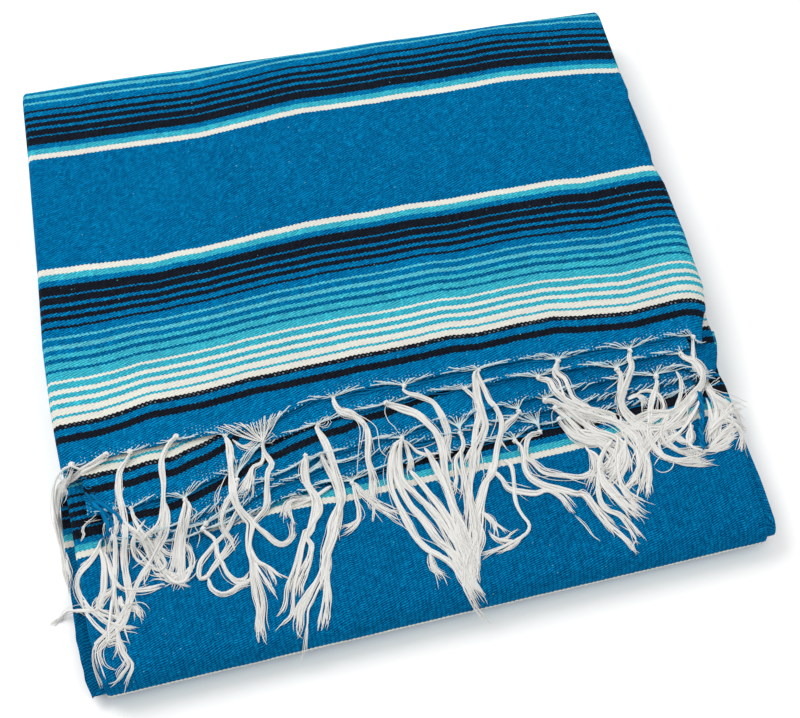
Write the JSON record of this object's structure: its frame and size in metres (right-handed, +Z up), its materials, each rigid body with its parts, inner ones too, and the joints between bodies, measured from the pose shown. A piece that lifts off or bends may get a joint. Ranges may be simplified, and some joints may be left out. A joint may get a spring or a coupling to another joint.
{
  "type": "folded mexican serape blanket",
  "caption": "Striped woven Mexican serape blanket with knotted fringe, folded flat into a square stack.",
  "frame": {"origin": "middle of the folded blanket's footprint, on the surface it lies on", "axes": "+Z up, +Y towards the far fold, +X across the width to the right"},
  "size_m": [0.3986, 0.4066, 0.0364],
  "materials": {
    "striped_weave": "matte weft-faced weave, striped blue, turquoise, off-white and blue-black",
    "plain_weave": "matte weft-faced weave, plain blue",
    "fringe": "soft off-white cotton warp yarn, knotted"
  },
  "bodies": {
    "root": {"hidden_layers": "plain_weave", "top_sheet": "striped_weave", "lower_sheet": "plain_weave", "end_layer_2": "striped_weave", "end_layer_3": "striped_weave", "end_layer_4": "striped_weave", "end_layer_5": "striped_weave", "side_selvedge": "plain_weave", "fringe_left": "fringe", "fringe_middle": "fringe", "fringe_right": "fringe"}
  },
  "joints": []
}
